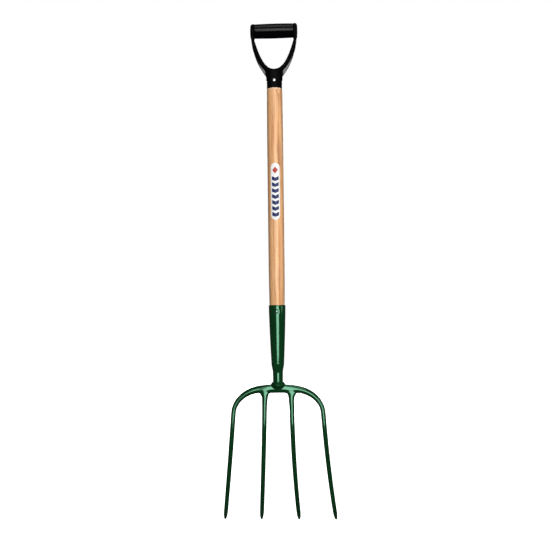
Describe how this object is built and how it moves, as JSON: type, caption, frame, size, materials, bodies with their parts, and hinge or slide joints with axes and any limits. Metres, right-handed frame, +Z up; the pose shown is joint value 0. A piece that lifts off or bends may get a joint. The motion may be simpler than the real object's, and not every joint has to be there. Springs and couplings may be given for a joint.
{
  "type": "digging fork",
  "caption": "Long-handled fork with round dished tines on an arched crossbar, a tapered steel ferrule, a wooden shaft and a moulded D grip.",
  "frame": {"origin": "on the shaft's axis at the height of the four tine points, where soil holds the fork when it stands upright", "axes": "+Z up the shaft to the hand bar, -Y to the side with the label and the rivet heads, +Y to the side the tines curve towards, X across the tines"},
  "size_m": [0.2756, 0.0636, 1.1909],
  "materials": {
    "painted_steel": "gloss enamel",
    "ash_wood": "clear varnish over straight ash grain",
    "black_plastic": "fine moulded texture",
    "bar_plastic": "satin",
    "bright_steel": "bright zinc",
    "label_film": "printed film"
  },
  "bodies": {
    "root": {"fork_head": "painted_steel", "ferrule": "painted_steel", "shaft": "ash_wood", "ferrule_rivet": "bright_steel", "shaft_label": "label_film", "grip_yoke": "black_plastic", "grip_barrel": "bar_plastic", "grip_spindle": "bright_steel", "spindle_caps": "bar_plastic", "grip_rivet": "bright_steel", "grip_rivet_burr": "bright_steel"}
  },
  "joints": []
}
